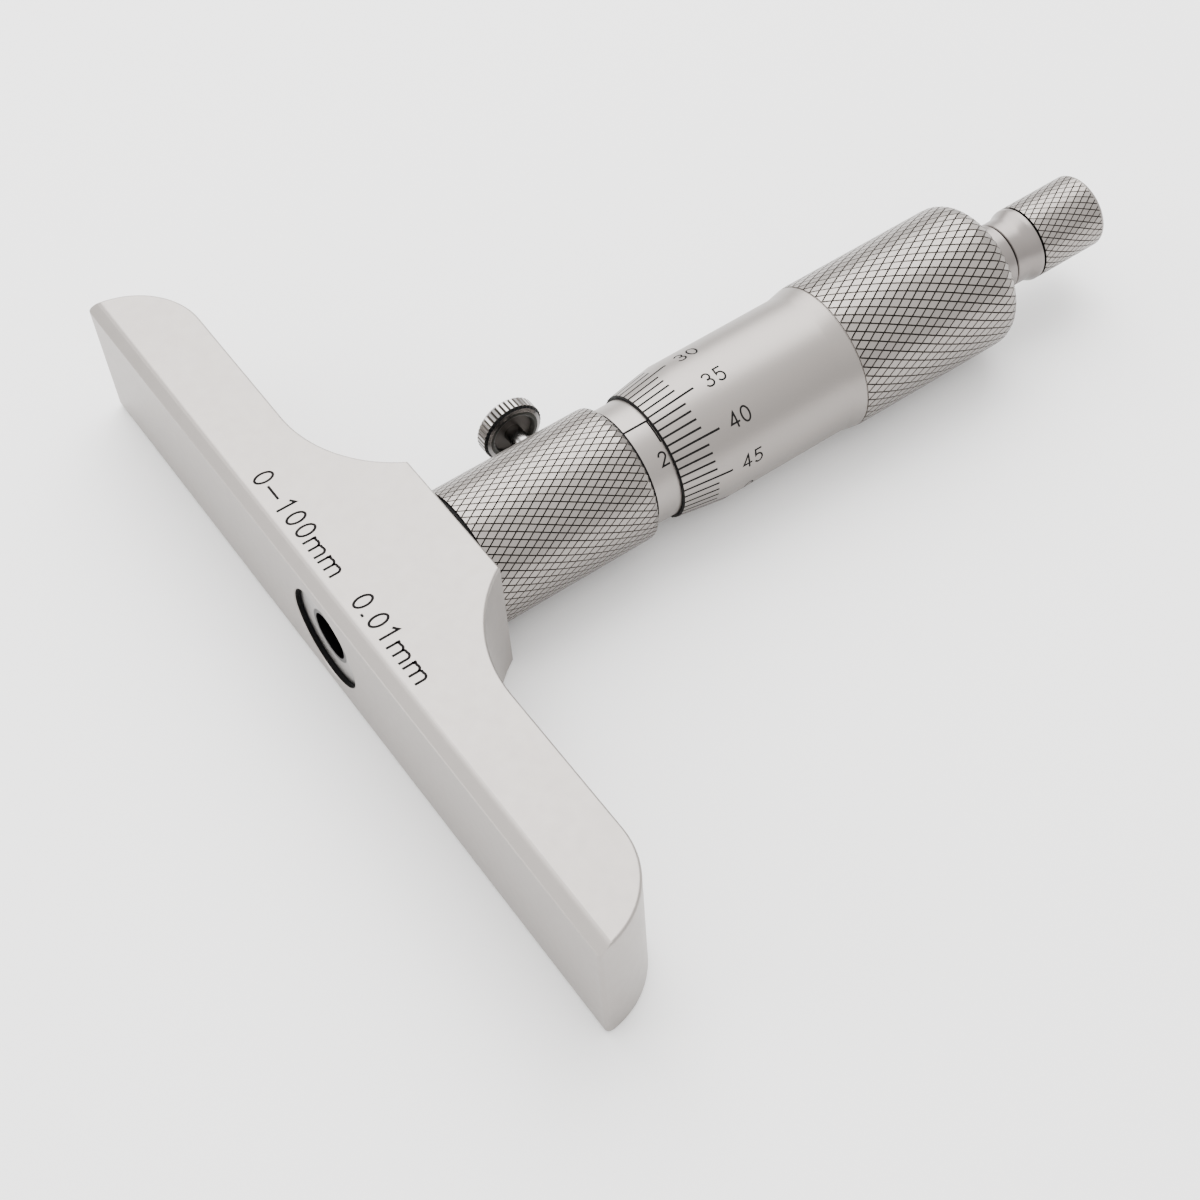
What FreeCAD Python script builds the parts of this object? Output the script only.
"""Depth micrometer of the interchangeable-rod type, 0-25 mm of spindle travel.

Frame: the origin is the centre of the rod hole, on the plane of the measuring face.
+Y runs along the spindle, away from the work and towards the ratchet stop.
+X runs along the base. +Z comes out of the base's marked front face.
The instrument lies on its back. Everything is in millimetres.
"""
import FreeCAD
import Part
import math
import os

from FreeCAD import Base

# ---------------------------------------------------------------- driving sizes
# Fits.
RUNNING_CLEARANCE = 0.03
THIMBLE_CLEARANCE = 0.06
HOLE_CLEARANCE = 0.05

# Turned outlines take their rounded corners in this many straight steps.
ROUND_STEPS = 3

# Base: a flat block with quarter-round ends and a boss that carries the body.
BASE_LENGTH = 101.0
BASE_THICKNESS = 16.5
SHOULDER_HEIGHT = 9.35
BOSS_RISE = 7.55
BOSS_WIDTH = 17.8
BOSS_FLARE_RADIUS = 16.0
FACE_EDGE_ROUND = 1.1
BASE_EDGE_BREAK = 0.3

# Spindle: a hollow screw, through whose bore a measuring rod passes.
SPINDLE_BORE_RADIUS = 2.25
SPINDLE_WALL = 1.15
SPINDLE_FRONT_GAP = 0.8
UNDERCUT_DEPTH = 0.25
UNDERCUT_GAP = 0.15
UNDERCUT_LENGTH = 0.8
SPINDLE_SHOULDER_STEP = 1.5
SPINDLE_SHOULDER_LENGTH = 1.5
TAIL_STEP = 0.25
TAIL_BORE_STEP = 0.25
TAIL_BORE_DEPTH = 7.0
TAIL_END_SINK = 0.2

# Inner sleeve: the tube that is seated in the base and guides the spindle.
SLEEVE_WALL = 2.67
SPIGOT_STEP = 0.15
SPIGOT_RECESS = 0.7
SPIGOT_WALL = 2.9
ROD_HOLE_STEP = 0.51
TAPER_GAP = 0.1
TAPER_LENGTH = 9.1
TAPER_DEPTH = 0.5
SLOT_WIDTH = 0.6
SLOT_LENGTH = 15.5
SLOT_COUNT = 3

# Knurled collar round the inner sleeve, with the spindle lock in its side.
COLLAR_WALL = 1.0
COLLAR_SEAT_GAP = 0.15
COLLAR_LENGTH = 20.45
COLLAR_END_ROUND = 0.9
COLLAR_FOOT_CHAMFER = 0.3
COLLAR_COUNTERBORE_DEPTH = 1.0

# Graduated sleeve, friction ring and adjusting nut.
GRADUATED_WALL = 0.95
GRADUATED_OPEN_LENGTH = 29.3
SPANNER_HOLE_RADIUS = 0.8
SPANNER_HOLE_PLACE = 9.0
FRICTION_GROOVE_DEPTH = 0.5
FRICTION_GROOVE_PLACE = 14.5
FRICTION_RING_WIDTH = 1.6
FRICTION_RING_SPLIT = 0.8
NUT_GAP = 0.16
NUT_PLACE = 1.4
NUT_LENGTH = 5.4
NUT_NOTCH_COUNT = 4
NUT_NOTCH_WIDTH = 1.2
NUT_NOTCH_DEPTH = 0.7
NUT_NOTCH_LENGTH = 1.6

# Thimble: bevelled graduated edge, plain barrel, larger knurled grip.
SCALE_WINDOW = 3.35
THIMBLE_EDGE_WALL = 0.34
THIMBLE_BARREL_WALL = 1.24
THIMBLE_GRIP_STEP = 0.45
THIMBLE_BEVEL_LENGTH = 5.65
THIMBLE_BARREL_LENGTH = 16.7
THIMBLE_CONE_LENGTH = 2.4
THIMBLE_GRIP_LENGTH = 22.8
THIMBLE_REAR_ROUND = 2.6
THIMBLE_END_WALL = 6.7

# Pieces that hold the thimble on the spindle.
SEAT_WASHER_STEP = 2.2
SEAT_WASHER_THICKNESS = 0.7
SEAT_WASHER_PLAY = 0.04
THIMBLE_NUT_WALL = 0.9
THIMBLE_NUT_LENGTH = 3.2
THIMBLE_NUT_PIN_RADIUS = 0.35

# Ratchet stop.
STEM_GAP = 0.15
STEM_LENGTH = 3.5
STEM_NECK_STEP = 0.52
STEM_NECK_LENGTH = 1.85
STEM_HEAD_STEP = 0.02
STEM_HEAD_LENGTH = 0.45
STEM_SHANK_LENGTH = 6.6
POST_RADIUS = 1.25
POST_BORE_RADIUS = 0.8
POST_BORE_DEPTH = 5.0
CAP_RADIUS = 4.52
CAP_GAP = 0.1
CAP_CAVITY_LENGTH = 6.15
CAP_WEB_THICKNESS = 1.5
CAP_RECESS_DEPTH = 1.7
CAP_END_ROUND = 0.5
CAP_WALL = 1.02
CAP_RECESS_RADIUS = 2.9
KEYWAY_WIDTH = 1.3
KEYWAY_DEPTH = 0.45
KEYWAY_STOP = 1.9
TOOTH_COUNT = 24
TOOTH_HEIGHT = 0.35
TOOTH_PLAY = 0.05
TOOTH_INNER_GAP = 0.7
TOOTH_OUTER_GAP = 0.2
CROWN_THICKNESS = 0.6
CROWN_HUB_OVERLAP = 0.05
RING_THICKNESS = 1.3
SPRING_WIRE_RADIUS = 0.22
SPRING_WIRE_SIDES = 4
SPRING_COIL_GAP = 1.2
SPRING_TURNS = 4
SPRING_STEPS_PER_TURN = 16
SPRING_END_GAP = 0.02
RATCHET_WASHER_GAP = 0.5
RATCHET_WASHER_THICKNESS = 0.3
RATCHET_SCREW_HEAD_GAP = 1.0
RATCHET_SCREW_HEAD_LENGTH = 0.9
RATCHET_SCREW_END_GAP = 0.5
RATCHET_SCREW_SLOT_WIDTH = 0.45
RATCHET_SCREW_SLOT_DEPTH = 0.45

# Spindle lock: a brass pad pushed by a thumb screw in the side of the collar.
LOCK_SETBACK = 6.1
LOCK_PAD_RADIUS = 1.05
LOCK_PAD_SINK = 0.14
LOCK_PAD_GAP = 0.06
LOCK_STEM_RADIUS = 1.05
LOCK_STEM_REACH = 3.35
LOCK_HEAD_RADIUS = 3.77
LOCK_HEAD_THICKNESS = 2.1
LOCK_HEAD_EDGE = 0.3
LOCK_FACE_RIM = 1.17
LOCK_FACE_RECESS_DEPTH = 0.45

# Grub screw that locks the spigot in the base, from the back of the boss.
GRUB_RADIUS = 1.5
GRUB_SETBACK = 4.5
GRUB_SINK = 0.4
GRUB_SOCKET_FLATS = 1.5
GRUB_SOCKET_DEPTH = 1.0

# ---------------------------------------------------------------- worked out
# Radii, from the rod outwards.
SPINDLE_RADIUS = SPINDLE_BORE_RADIUS + SPINDLE_WALL
GUIDE_BORE_RADIUS = SPINDLE_RADIUS + RUNNING_CLEARANCE
ROD_HOLE_RADIUS = SPINDLE_BORE_RADIUS + ROD_HOLE_STEP
SLEEVE_BODY_RADIUS = GUIDE_BORE_RADIUS + SLEEVE_WALL
SPIGOT_RADIUS = SLEEVE_BODY_RADIUS - SPIGOT_STEP
TAPER_END_RADIUS = SLEEVE_BODY_RADIUS - TAPER_DEPTH
FRICTION_GROOVE_RADIUS = SLEEVE_BODY_RADIUS - FRICTION_GROOVE_DEPTH
GRADUATED_BORE_RADIUS = SLEEVE_BODY_RADIUS + HOLE_CLEARANCE
GRADUATED_RADIUS = GRADUATED_BORE_RADIUS + GRADUATED_WALL
COLLAR_RADIUS = GRADUATED_RADIUS + COLLAR_WALL
THIMBLE_BORE_RADIUS = GRADUATED_RADIUS + THIMBLE_CLEARANCE
THIMBLE_EDGE_RADIUS = THIMBLE_BORE_RADIUS + THIMBLE_EDGE_WALL
THIMBLE_BARREL_RADIUS = THIMBLE_BORE_RADIUS + THIMBLE_BARREL_WALL
THIMBLE_GRIP_RADIUS = THIMBLE_BARREL_RADIUS + THIMBLE_GRIP_STEP
NUT_RADIUS = THIMBLE_BORE_RADIUS - NUT_GAP
SPINDLE_SHOULDER_RADIUS = SPINDLE_RADIUS + SPINDLE_SHOULDER_STEP
SEAT_WASHER_RADIUS = SPINDLE_RADIUS + SEAT_WASHER_STEP
TAIL_RADIUS = SPINDLE_RADIUS - TAIL_STEP
TAIL_BORE_RADIUS = SPINDLE_BORE_RADIUS + TAIL_BORE_STEP
THIMBLE_NUT_RADIUS = TAIL_RADIUS + THIMBLE_NUT_WALL
STEM_NECK_RADIUS = CAP_RADIUS - STEM_NECK_STEP
STEM_HEAD_RADIUS = CAP_RADIUS - STEM_HEAD_STEP
CAP_BORE_RADIUS = CAP_RADIUS - CAP_WALL
TOOTH_INNER_RADIUS = POST_RADIUS + TOOTH_INNER_GAP
TOOTH_OUTER_RADIUS = CAP_BORE_RADIUS - TOOTH_OUTER_GAP
SPRING_COIL_RADIUS = CAP_BORE_RADIUS - SPRING_COIL_GAP
RATCHET_WASHER_RADIUS = CAP_RECESS_RADIUS - RATCHET_WASHER_GAP
RATCHET_SCREW_HEAD_RADIUS = CAP_RECESS_RADIUS - RATCHET_SCREW_HEAD_GAP

# Heights, from the measuring face to the ratchet's end.
BACK_Z = -BASE_THICKNESS / 2
BOSS_HEIGHT = SHOULDER_HEIGHT + BOSS_RISE
GRUB_PLACE = BOSS_HEIGHT - GRUB_SETBACK
SPIGOT_WALL_END = SPIGOT_RECESS + SPIGOT_WALL
SPINDLE_FRONT = SPIGOT_WALL_END + SPINDLE_FRONT_GAP
COLLAR_START = BOSS_HEIGHT + COLLAR_SEAT_GAP
COLLAR_END = COLLAR_START + COLLAR_LENGTH
LOCK_PLACE = COLLAR_END - LOCK_SETBACK
UNDERCUT_START = LOCK_PLACE + LOCK_PAD_RADIUS + UNDERCUT_GAP
GRADUATED_START = COLLAR_END - COLLAR_COUNTERBORE_DEPTH
GRADUATED_END = COLLAR_END + GRADUATED_OPEN_LENGTH
FRICTION_GROOVE_START = COLLAR_END + FRICTION_GROOVE_PLACE
TAPER_START = GRADUATED_END + TAPER_GAP
SLEEVE_END = TAPER_START + TAPER_LENGTH
NUT_START = GRADUATED_END + NUT_PLACE
THIMBLE_FRONT = COLLAR_END + SCALE_WINDOW
THIMBLE_BEVEL_END = THIMBLE_FRONT + THIMBLE_BEVEL_LENGTH
THIMBLE_BARREL_END = THIMBLE_BEVEL_END + THIMBLE_BARREL_LENGTH
THIMBLE_GRIP_START = THIMBLE_BARREL_END + THIMBLE_CONE_LENGTH
THIMBLE_REAR = THIMBLE_GRIP_START + THIMBLE_GRIP_LENGTH
THIMBLE_WALL_START = THIMBLE_REAR - THIMBLE_END_WALL
SEAT_WASHER_END = THIMBLE_WALL_START - SEAT_WASHER_PLAY
SEAT_WASHER_START = SEAT_WASHER_END - SEAT_WASHER_THICKNESS
SPINDLE_SHOULDER_END = SEAT_WASHER_START - SEAT_WASHER_PLAY
SPINDLE_SHOULDER_START = SPINDLE_SHOULDER_END - SPINDLE_SHOULDER_LENGTH
THIMBLE_NUT_END = THIMBLE_REAR + THIMBLE_NUT_LENGTH
SPINDLE_END = THIMBLE_NUT_END - TAIL_END_SINK
TAIL_BORE_START = SPINDLE_END - TAIL_BORE_DEPTH
STEM_START = THIMBLE_NUT_END + STEM_GAP
STEM_END = STEM_START + STEM_LENGTH
STEM_NECK_END = STEM_START + STEM_NECK_LENGTH
STEM_HEAD_START = STEM_END - STEM_HEAD_LENGTH
CROWN_TOOTH_BASE = STEM_END + CROWN_THICKNESS
RING_TOOTH_BASE = CROWN_TOOTH_BASE + TOOTH_PLAY
RING_TOP = RING_TOOTH_BASE + RING_THICKNESS
CAP_START = STEM_END + CAP_GAP
CAP_WEB_START = CAP_START + CAP_CAVITY_LENGTH
CAP_WEB_END = CAP_WEB_START + CAP_WEB_THICKNESS
CAP_END = CAP_WEB_END + CAP_RECESS_DEPTH
KEYWAY_END = CAP_WEB_START - KEYWAY_STOP
POST_END = CAP_WEB_END + RUNNING_CLEARANCE
WASHER_TOP = POST_END + RATCHET_WASHER_THICKNESS

# Distances of the lock from the spindle axis, along -X.
LOCK_PAD_TIP = SPINDLE_RADIUS + LOCK_PAD_GAP
LOCK_PAD_TAIL = SLEEVE_BODY_RADIUS - LOCK_PAD_SINK
LOCK_HEAD_INNER = COLLAR_RADIUS + LOCK_STEM_REACH
LOCK_HEAD_OUTER = LOCK_HEAD_INNER + LOCK_HEAD_THICKNESS
LOCK_FACE_RECESS_RADIUS = LOCK_HEAD_RADIUS - LOCK_FACE_RIM

AXIS_Y = Base.Vector(0, 1, 0)


# ---------------------------------------------------------------- helpers
def on_y(y):
    """Point of the spindle axis at the given height."""
    return Base.Vector(0, y, 0)


def rod(radius, start, end):
    """Solid cylinder on the spindle axis."""
    return Part.makeCylinder(radius, end - start, on_y(start), AXIS_Y)


def tube(outer, inner, start, end):
    """Plain tube on the spindle axis."""
    return rod(outer, start, end).cut(rod(inner, start, end))


def turned(profile):
    """Solid turned about the spindle axis from (radius, height) corners."""
    corners = [Base.Vector(radius, height, 0) for radius, height in profile]
    wire = Part.makePolygon(corners + corners[:1])
    return Part.Face(wire).revolve(on_y(0), AXIS_Y, 360)


def spun_y(shape, angle):
    """Copy of a shape, turned about the spindle axis."""
    copy = shape.copy()
    copy.rotate(on_y(0), AXIS_Y, angle)
    return copy


def flat_face(corners):
    """Flat face through the given corners."""
    return Part.Face(Part.makePolygon(corners + corners[:1]))


def solid_of(faces):
    """Closed solid from faces that meet edge to edge."""
    shell = Part.makeShell(faces)
    shell.sewShape()
    solid = Part.makeSolid(shell)
    if solid.Volume < 0:
        solid.reverse()
    return solid


def rounded_corner(radius, height, size, steps):
    """Corner points that round off an outer edge at the top of a turned outline."""
    points = []
    for step in range(steps + 1):
        angle = math.pi / 2 * step / steps
        out = radius - size + size * math.cos(angle)
        up = height - size + size * math.sin(angle)
        points.append((out, up))
    return points


def side_hole(radius, inner, outer, place):
    """Cylinder along -X, from inner to outer distance, at a height on the body."""
    start = Base.Vector(-inner, place, 0)
    return Part.makeCylinder(radius, outer - inner, start, Base.Vector(-1, 0, 0))


# ---------------------------------------------------------------- base
def base_outline():
    """Front outline of the base: measuring face, round ends, shoulders and boss."""
    half = BASE_LENGTH / 2
    end_centre = half - SHOULDER_HEIGHT
    boss_half = BOSS_WIDTH / 2
    rise = BOSS_HEIGHT - SHOULDER_HEIGHT
    flare_sine = math.sqrt(1 - (1 - rise / BOSS_FLARE_RADIUS) ** 2)
    flare_foot = boss_half + BOSS_FLARE_RADIUS * flare_sine
    half_turn = math.asin(flare_sine) / 2
    flare_mid_x = flare_foot - BOSS_FLARE_RADIUS * math.sin(half_turn)
    flare_mid_y = SHOULDER_HEIGHT + BOSS_FLARE_RADIUS * (1 - math.cos(half_turn))
    end_mid = SHOULDER_HEIGHT * math.sqrt(0.5)

    def at(x, y):
        return Base.Vector(x, y, BACK_Z)

    edges = [Part.makeLine(at(-half, 0), at(half, 0))]
    for side in (1, -1):
        toe = at(side * half, 0)
        end_top = at(side * end_centre, SHOULDER_HEIGHT)
        end_middle = at(side * (end_centre + end_mid), end_mid)
        foot = at(side * flare_foot, SHOULDER_HEIGHT)
        flare_middle = at(side * flare_mid_x, flare_mid_y)
        boss_corner = at(side * boss_half, BOSS_HEIGHT)
        edges.append(Part.Arc(toe, end_middle, end_top).toShape())
        edges.append(Part.makeLine(end_top, foot))
        edges.append(Part.Arc(foot, flare_middle, boss_corner).toShape())
    top_left = at(-boss_half, BOSS_HEIGHT)
    edges.append(Part.makeLine(at(boss_half, BOSS_HEIGHT), top_left))
    return Part.Wire(Part.__sortEdges__(edges))


def make_base():
    """Lapped base, bored through for the spigot of the inner sleeve."""
    block = Part.Face(base_outline()).extrude(Base.Vector(0, 0, BASE_THICKNESS))
    long_edges = []
    rim_edges = []
    for edge in block.Edges:
        box = edge.BoundBox
        if box.ZLength > 0.1:
            continue
        on_measuring_face = box.YMax < 1e-6
        if on_measuring_face:
            long_edges.append(edge)
        else:
            rim_edges.append(edge)
    block = block.makeChamfer(BASE_EDGE_BREAK, rim_edges)
    long_edges = []
    for edge in block.Edges:
        box = edge.BoundBox
        if box.YMax < 1e-6 and box.XLength > BASE_LENGTH / 2:
            long_edges.append(edge)
    block = block.makeFillet(FACE_EDGE_ROUND, long_edges)
    block = block.cut(rod(SPIGOT_RADIUS, -1, BOSS_HEIGHT + 1))
    grub_hole = Part.makeCylinder(
        GRUB_RADIUS, BASE_THICKNESS / 2, Base.Vector(0, GRUB_PLACE, BACK_Z), Base.Vector(0, 0, 1)
    )
    return block.cut(grub_hole)


def make_body_set_screw():
    """Hex-socket grub screw, sunk in the back of the boss, that bears on the spigot."""
    length = -BACK_Z - GRUB_SINK - SPIGOT_RADIUS
    start = Base.Vector(0, GRUB_PLACE, BACK_Z + GRUB_SINK)
    up = Base.Vector(0, 0, 1)
    grub = Part.makeCylinder(GRUB_RADIUS, length, start, up)
    across_corners = GRUB_SOCKET_FLATS / math.cos(math.radians(30))
    corners = []
    for step in range(7):
        angle = math.radians(60 * step)
        x = across_corners / 2 * math.cos(angle)
        y = across_corners / 2 * math.sin(angle)
        corners.append(start + Base.Vector(x, y, 0))
    socket = Part.Face(Part.makePolygon(corners)).extrude(up * GRUB_SOCKET_DEPTH)
    spigot = rod(SPIGOT_RADIUS, 0, BOSS_HEIGHT)
    return grub.cut(socket).cut(spigot)


# ---------------------------------------------------------------- fixed body
def make_inner_sleeve():
    """Guide tube: spigot in the base, relieved bore, slotted and tapered rear end."""
    outline = [
        (ROD_HOLE_RADIUS, SPIGOT_RECESS),
        (SPIGOT_RADIUS, SPIGOT_RECESS),
        (SPIGOT_RADIUS, BOSS_HEIGHT),
        (SLEEVE_BODY_RADIUS, BOSS_HEIGHT),
        (SLEEVE_BODY_RADIUS, FRICTION_GROOVE_START),
        (FRICTION_GROOVE_RADIUS, FRICTION_GROOVE_START),
        (FRICTION_GROOVE_RADIUS, FRICTION_GROOVE_START + FRICTION_RING_WIDTH),
        (SLEEVE_BODY_RADIUS, FRICTION_GROOVE_START + FRICTION_RING_WIDTH),
        (SLEEVE_BODY_RADIUS, TAPER_START),
        (TAPER_END_RADIUS, SLEEVE_END),
        (GUIDE_BORE_RADIUS, SLEEVE_END),
        (GUIDE_BORE_RADIUS, SPIGOT_WALL_END),
        (ROD_HOLE_RADIUS, SPIGOT_WALL_END),
    ]
    sleeve = turned(outline)
    slot_start = SLEEVE_END - SLOT_LENGTH
    for number in range(SLOT_COUNT):
        slot = Part.makeBox(
            SLOT_WIDTH, SLOT_LENGTH + 1, SLEEVE_BODY_RADIUS + 1,
            Base.Vector(-SLOT_WIDTH / 2, slot_start, 0),
        )
        sleeve = sleeve.cut(spun_y(slot, 360 / SLOT_COUNT * number))
    pad_hole = LOCK_PAD_RADIUS + HOLE_CLEARANCE
    return sleeve.cut(side_hole(pad_hole, 0, SLEEVE_BODY_RADIUS + 1, LOCK_PLACE))


def make_knurled_collar():
    """Collar on the inner sleeve, seated on the boss; the knurl is a surface finish."""
    outline = [
        (SLEEVE_BODY_RADIUS, COLLAR_START),
        (COLLAR_RADIUS - COLLAR_FOOT_CHAMFER, COLLAR_START),
        (COLLAR_RADIUS, COLLAR_START + COLLAR_FOOT_CHAMFER),
        *rounded_corner(COLLAR_RADIUS, COLLAR_END, COLLAR_END_ROUND, ROUND_STEPS),
        (GRADUATED_RADIUS, COLLAR_END),
        (GRADUATED_RADIUS, GRADUATED_START),
        (SLEEVE_BODY_RADIUS, GRADUATED_START),
    ]
    collar = turned(outline)
    screw_hole = LOCK_STEM_RADIUS + HOLE_CLEARANCE
    return collar.cut(side_hole(screw_hole, 0, COLLAR_RADIUS + 1, LOCK_PLACE))


def make_graduated_sleeve():
    """Outer sleeve that carries the scale, with a spanner hole at the back for zeroing."""
    sleeve = tube(GRADUATED_RADIUS, GRADUATED_BORE_RADIUS, GRADUATED_START, GRADUATED_END)
    hole_start = on_y(COLLAR_END + SPANNER_HOLE_PLACE)
    hole = Part.makeCylinder(
        SPANNER_HOLE_RADIUS, GRADUATED_RADIUS + 1, hole_start, Base.Vector(0, 0, -1)
    )
    return sleeve.cut(hole)


def make_friction_ring():
    """Split spring ring that holds the graduated sleeve where it is set."""
    end = FRICTION_GROOVE_START + FRICTION_RING_WIDTH
    ring = tube(GRADUATED_BORE_RADIUS, FRICTION_GROOVE_RADIUS, FRICTION_GROOVE_START, end)
    gap = Part.makeBox(
        FRICTION_RING_SPLIT, FRICTION_RING_WIDTH, GRADUATED_BORE_RADIUS + 1,
        Base.Vector(-FRICTION_RING_SPLIT / 2, FRICTION_GROOVE_START, 0),
    )
    return ring.cut(gap)


def taper_radius(height):
    """Radius of the inner sleeve's tapered end at a height."""
    share = (height - TAPER_START) / (SLEEVE_END - TAPER_START)
    return SLEEVE_BODY_RADIUS + share * (TAPER_END_RADIUS - SLEEVE_BODY_RADIUS)


def make_adjusting_nut():
    """Taper nut that closes the slotted end of the inner sleeve to take up play."""
    end = NUT_START + NUT_LENGTH
    nut = turned([
        (taper_radius(NUT_START), NUT_START),
        (NUT_RADIUS, NUT_START),
        (NUT_RADIUS, end),
        (taper_radius(end), end),
    ])
    for number in range(NUT_NOTCH_COUNT):
        notch = Part.makeBox(
            NUT_NOTCH_WIDTH, NUT_NOTCH_LENGTH, NUT_NOTCH_DEPTH + 1,
            Base.Vector(-NUT_NOTCH_WIDTH / 2, end - NUT_NOTCH_LENGTH, NUT_RADIUS - NUT_NOTCH_DEPTH),
        )
        nut = nut.cut(spun_y(notch, 360 / NUT_NOTCH_COUNT * (number + 0.5)))
    return nut


# ---------------------------------------------------------------- spindle group
def make_spindle():
    """Hollow spindle with a thread undercut, a shoulder and a bored tail."""
    undercut_radius = SPINDLE_RADIUS - UNDERCUT_DEPTH
    undercut_end = UNDERCUT_START + UNDERCUT_LENGTH
    return turned([
        (SPINDLE_BORE_RADIUS, SPINDLE_FRONT),
        (SPINDLE_RADIUS, SPINDLE_FRONT),
        (SPINDLE_RADIUS, UNDERCUT_START),
        (undercut_radius, UNDERCUT_START),
        (undercut_radius, undercut_end),
        (SPINDLE_RADIUS, undercut_end),
        (SPINDLE_RADIUS, SPINDLE_SHOULDER_START),
        (SPINDLE_SHOULDER_RADIUS, SPINDLE_SHOULDER_START),
        (SPINDLE_SHOULDER_RADIUS, SPINDLE_SHOULDER_END),
        (SPINDLE_RADIUS, SPINDLE_SHOULDER_END),
        (SPINDLE_RADIUS, THIMBLE_REAR),
        (TAIL_RADIUS, THIMBLE_REAR),
        (TAIL_RADIUS, SPINDLE_END),
        (TAIL_BORE_RADIUS, SPINDLE_END),
        (TAIL_BORE_RADIUS, TAIL_BORE_START),
        (SPINDLE_BORE_RADIUS, TAIL_BORE_START),
    ])


def make_seat_washer():
    """Plain washer between the spindle's shoulder and the thimble's inner wall."""
    bore = SPINDLE_RADIUS + RUNNING_CLEARANCE
    return tube(SEAT_WASHER_RADIUS, bore, SEAT_WASHER_START, SEAT_WASHER_END)


def make_thimble():
    """Thimble shell; its lines, numbers and knurl are surface finishes."""
    return turned([
        (THIMBLE_BORE_RADIUS, THIMBLE_FRONT),
        (THIMBLE_EDGE_RADIUS, THIMBLE_FRONT),
        (THIMBLE_BARREL_RADIUS, THIMBLE_BEVEL_END),
        (THIMBLE_BARREL_RADIUS, THIMBLE_BARREL_END),
        (THIMBLE_GRIP_RADIUS, THIMBLE_GRIP_START),
        *rounded_corner(THIMBLE_GRIP_RADIUS, THIMBLE_REAR, THIMBLE_REAR_ROUND, ROUND_STEPS),
        (SPINDLE_RADIUS, THIMBLE_REAR),
        (SPINDLE_RADIUS, THIMBLE_WALL_START),
        (THIMBLE_BORE_RADIUS, THIMBLE_WALL_START),
    ])


def make_thimble_nut():
    """Neck nut that clamps the thimble on the spindle, with two holes for a pin spanner."""
    nut = turned([
        (TAIL_RADIUS, THIMBLE_REAR),
        (THIMBLE_NUT_RADIUS, THIMBLE_REAR),
        (THIMBLE_NUT_RADIUS, THIMBLE_NUT_END),
        (TAIL_RADIUS, THIMBLE_NUT_END),
    ])
    middle = (THIMBLE_REAR + THIMBLE_NUT_END) / 2
    for direction in (1, -1):
        hole = Part.makeCylinder(
            THIMBLE_NUT_PIN_RADIUS, THIMBLE_NUT_RADIUS + 1, on_y(middle),
            Base.Vector(0, 0, -direction),
        )
        nut = nut.cut(hole)
    return nut


# ---------------------------------------------------------------- ratchet stop
def toothed_ring(inner, outer, flat_y, tooth_y):
    """Ring with saw teeth on one end: each tooth is steep on one side and slopes back.

    The tooth tips rise TOOTH_HEIGHT above tooth_y in +Y, whichever side the flat end is on,
    so two rings made on the same tooth line fit into each other.
    """
    pitch = 2 * math.pi / TOOTH_COUNT

    def at(radius, number, height):
        angle = pitch * number
        return Base.Vector(radius * math.cos(angle), height, -radius * math.sin(angle))

    faces = []
    for number in range(TOOTH_COUNT):
        step = number + 1
        tip_in = at(inner, number, tooth_y + TOOTH_HEIGHT)
        tip_out = at(outer, number, tooth_y + TOOTH_HEIGHT)
        low_in = at(inner, step, tooth_y)
        low_out = at(outer, step, tooth_y)
        flat_in = at(inner, number, flat_y)
        flat_out = at(outer, number, flat_y)
        next_flat_in = at(inner, step, flat_y)
        next_flat_out = at(outer, step, flat_y)
        next_tip_in = at(inner, step, tooth_y + TOOTH_HEIGHT)
        next_tip_out = at(outer, step, tooth_y + TOOTH_HEIGHT)
        faces.append(flat_face([tip_in, tip_out, low_out]))
        faces.append(flat_face([tip_in, low_out, low_in]))
        faces.append(flat_face([low_in, low_out, next_tip_out, next_tip_in]))
        faces.append(flat_face([flat_in, flat_out, next_flat_out, next_flat_in]))
        if flat_y < tooth_y:
            faces.append(flat_face([flat_out, tip_out, low_out, next_flat_out]))
            faces.append(flat_face([flat_in, tip_in, low_in, next_flat_in]))
        else:
            faces.append(flat_face([flat_out, tip_out, low_out, next_flat_out]))
            faces.append(flat_face([flat_in, tip_in, low_in, next_flat_in]))
    return solid_of(faces)


def make_ratchet_stem():
    """Stem screwed into the spindle's tail; the knurled cap turns on its post."""
    shank_start = STEM_START - STEM_SHANK_LENGTH
    return turned([
        (0, shank_start),
        (TAIL_BORE_RADIUS, shank_start),
        (TAIL_BORE_RADIUS, STEM_START),
        (STEM_NECK_RADIUS, STEM_START),
        (STEM_NECK_RADIUS, STEM_NECK_END),
        (STEM_HEAD_RADIUS, STEM_HEAD_START),
        (STEM_HEAD_RADIUS, STEM_END),
        (POST_RADIUS, STEM_END),
        (POST_RADIUS, POST_END),
        (POST_BORE_RADIUS, POST_END),
        (POST_BORE_RADIUS, POST_END - POST_BORE_DEPTH),
        (0, POST_END - POST_BORE_DEPTH),
    ])


def make_ratchet_crown():
    """Fixed toothed ring, pressed on the post and seated on the stem's head."""
    crown = toothed_ring(TOOTH_INNER_RADIUS, TOOTH_OUTER_RADIUS, STEM_END, CROWN_TOOTH_BASE)
    hub_radius = TOOTH_INNER_RADIUS + CROWN_HUB_OVERLAP
    hub = tube(hub_radius, POST_RADIUS, STEM_END, CROWN_TOOTH_BASE)
    return crown.fuse(hub).removeSplitter()


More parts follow.
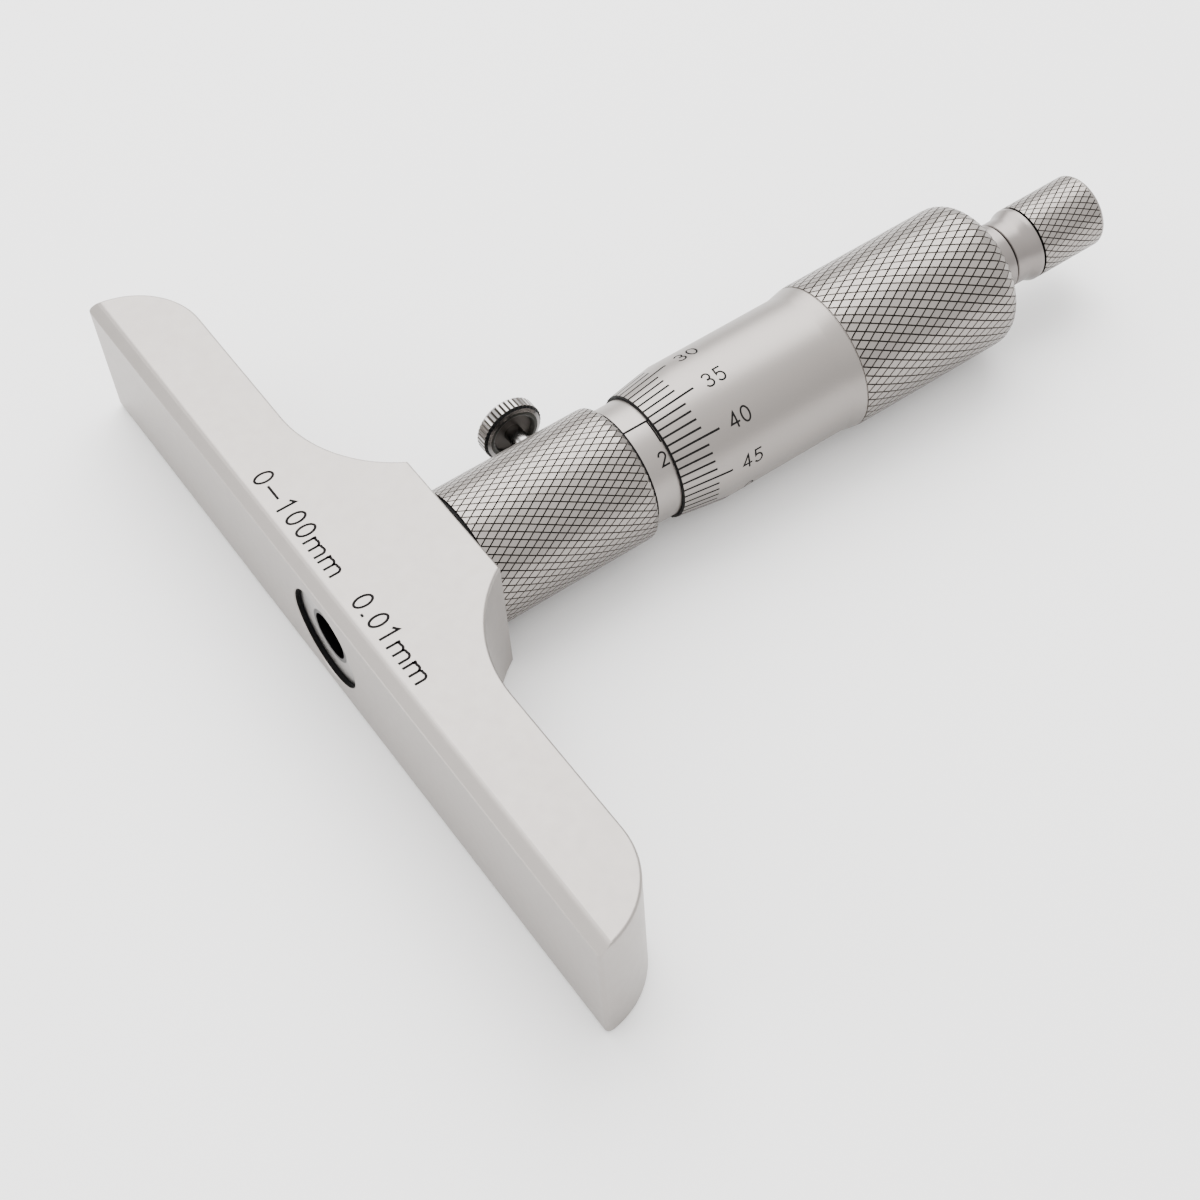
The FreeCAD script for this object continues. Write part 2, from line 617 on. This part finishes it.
def make_ratchet_ring():
    """Sliding toothed ring, keyed in the cap by two lugs and pressed on by the spring."""
    ring = toothed_ring(TOOTH_INNER_RADIUS, TOOTH_OUTER_RADIUS, RING_TOP, RING_TOOTH_BASE)
    lug_width = KEYWAY_WIDTH - 2 * HOLE_CLEARANCE
    lug_reach = CAP_BORE_RADIUS + KEYWAY_DEPTH - HOLE_CLEARANCE
    lug_start = RING_TOOTH_BASE + TOOTH_HEIGHT
    for side in (0, 180):
        lug = Part.makeBox(
            lug_width, RING_TOP - lug_start, lug_reach - TOOTH_INNER_RADIUS - 0.3,
            Base.Vector(-lug_width / 2, lug_start, TOOTH_INNER_RADIUS + 0.3),
        )
        ring = ring.fuse(spun_y(lug, side))
    return ring.removeSplitter()


def make_ratchet_spring():
    """Coil spring between the sliding ring and the cap's web, as rings of flat facets."""
    start = RING_TOP + SPRING_END_GAP + SPRING_WIRE_RADIUS
    end = CAP_WEB_START - SPRING_END_GAP - SPRING_WIRE_RADIUS
    steps = round(SPRING_TURNS * SPRING_STEPS_PER_TURN)
    sections = []
    for step in range(steps + 1):
        turn = 2 * math.pi * SPRING_TURNS * step / steps
        height = start + (end - start) * step / steps
        section = []
        for side in range(SPRING_WIRE_SIDES):
            angle = 2 * math.pi * side / SPRING_WIRE_SIDES
            radius = SPRING_COIL_RADIUS + SPRING_WIRE_RADIUS * math.cos(angle)
            y = height + SPRING_WIRE_RADIUS * math.sin(angle)
            section.append(Base.Vector(radius * math.cos(turn), y, -radius * math.sin(turn)))
        sections.append(section)
    faces = [flat_face(sections[0]), flat_face(sections[-1])]
    for this, following in zip(sections, sections[1:]):
        for side in range(SPRING_WIRE_SIDES):
            near = this[side]
            near_next = this[(side + 1) % SPRING_WIRE_SIDES]
            far = following[side]
            far_next = following[(side + 1) % SPRING_WIRE_SIDES]
            faces.append(flat_face([near, near_next, far]))
            faces.append(flat_face([near_next, far_next, far]))
    return solid_of(faces)


def make_ratchet_cap():
    """Hollow knurled cap with keyways for the sliding ring and a recess for the screw."""
    cap = turned([
        (CAP_BORE_RADIUS, CAP_START),
        (CAP_RADIUS, CAP_START),
        *rounded_corner(CAP_RADIUS, CAP_END, CAP_END_ROUND, ROUND_STEPS - 1),
        (CAP_RECESS_RADIUS, CAP_END),
        (CAP_RECESS_RADIUS, CAP_WEB_END),
        (POST_RADIUS + RUNNING_CLEARANCE, CAP_WEB_END),
        (POST_RADIUS + RUNNING_CLEARANCE, CAP_WEB_START),
        (CAP_BORE_RADIUS, CAP_WEB_START),
    ])
    for side in (0, 180):
        keyway = Part.makeBox(
            KEYWAY_WIDTH, KEYWAY_END - CAP_START, CAP_BORE_RADIUS + KEYWAY_DEPTH,
            Base.Vector(-KEYWAY_WIDTH / 2, CAP_START, 0),
        )
        cap = cap.cut(spun_y(keyway, side))
    return cap


def make_ratchet_washer():
    """Washer under the head of the ratchet screw, seated on the end of the post."""
    return tube(RATCHET_WASHER_RADIUS, POST_BORE_RADIUS, POST_END, WASHER_TOP)


def make_ratchet_screw():
    """Slotted screw that keeps the cap on the post."""
    head_end = WASHER_TOP + RATCHET_SCREW_HEAD_LENGTH
    shank_start = POST_END - POST_BORE_DEPTH + RATCHET_SCREW_END_GAP
    head = rod(RATCHET_SCREW_HEAD_RADIUS, WASHER_TOP, head_end)
    screw = head.fuse(rod(POST_BORE_RADIUS, shank_start, WASHER_TOP))
    slot = Part.makeBox(
        2 * RATCHET_SCREW_HEAD_RADIUS + 1, RATCHET_SCREW_SLOT_DEPTH, RATCHET_SCREW_SLOT_WIDTH,
        Base.Vector(
            -RATCHET_SCREW_HEAD_RADIUS - 0.5,
            head_end - RATCHET_SCREW_SLOT_DEPTH,
            -RATCHET_SCREW_SLOT_WIDTH / 2,
        ),
    )
    return screw.cut(slot).removeSplitter()


# ---------------------------------------------------------------- spindle lock
def make_lock_pad():
    """Brass pad in the side hole of the inner sleeve, between screw and spindle."""
    return side_hole(LOCK_PAD_RADIUS, LOCK_PAD_TIP, LOCK_PAD_TAIL, LOCK_PLACE)


def make_lock_screw():
    """Thumb screw with a thin stem and a flat head, recessed on its inner face."""
    head = side_hole(LOCK_HEAD_RADIUS, LOCK_HEAD_INNER, LOCK_HEAD_OUTER, LOCK_PLACE)
    rims = [edge for edge in head.Edges if isinstance(edge.Curve, Part.Circle)]
    head = head.makeChamfer(LOCK_HEAD_EDGE, rims)
    recess_end = LOCK_HEAD_INNER + LOCK_FACE_RECESS_DEPTH
    recess = side_hole(LOCK_FACE_RECESS_RADIUS, LOCK_HEAD_INNER - 1, recess_end, LOCK_PLACE)
    stem = side_hole(LOCK_STEM_RADIUS, LOCK_PAD_TAIL, recess_end + 0.2, LOCK_PLACE)
    return head.cut(recess).fuse(stem).removeSplitter()


# ---------------------------------------------------------------- output
NODES = {
    "base": make_base,
    "body_set_screw": make_body_set_screw,
    "inner_sleeve": make_inner_sleeve,
    "knurled_collar": make_knurled_collar,
    "graduated_sleeve": make_graduated_sleeve,
    "friction_ring": make_friction_ring,
    "adjusting_nut": make_adjusting_nut,
    "spindle": make_spindle,
    "seat_washer": make_seat_washer,
    "thimble": make_thimble,
    "thimble_nut": make_thimble_nut,
    "ratchet_stem": make_ratchet_stem,
    "ratchet_crown": make_ratchet_crown,
    "ratchet_ring": make_ratchet_ring,
    "ratchet_spring": make_ratchet_spring,
    "ratchet_cap": make_ratchet_cap,
    "ratchet_washer": make_ratchet_washer,
    "ratchet_screw": make_ratchet_screw,
    "lock_pad": make_lock_pad,
    "lock_screw": make_lock_screw,
}


def main():
    os.makedirs("parts", exist_ok=True)
    for name, maker in NODES.items():
        shape = maker()
        solids = len(shape.Solids)
        shape.exportStep(f"parts/{name}.step")
        print(f"{name}: {solids} solid, {shape.Volume:.2f} mm3, valid {shape.isValid()}")


main()
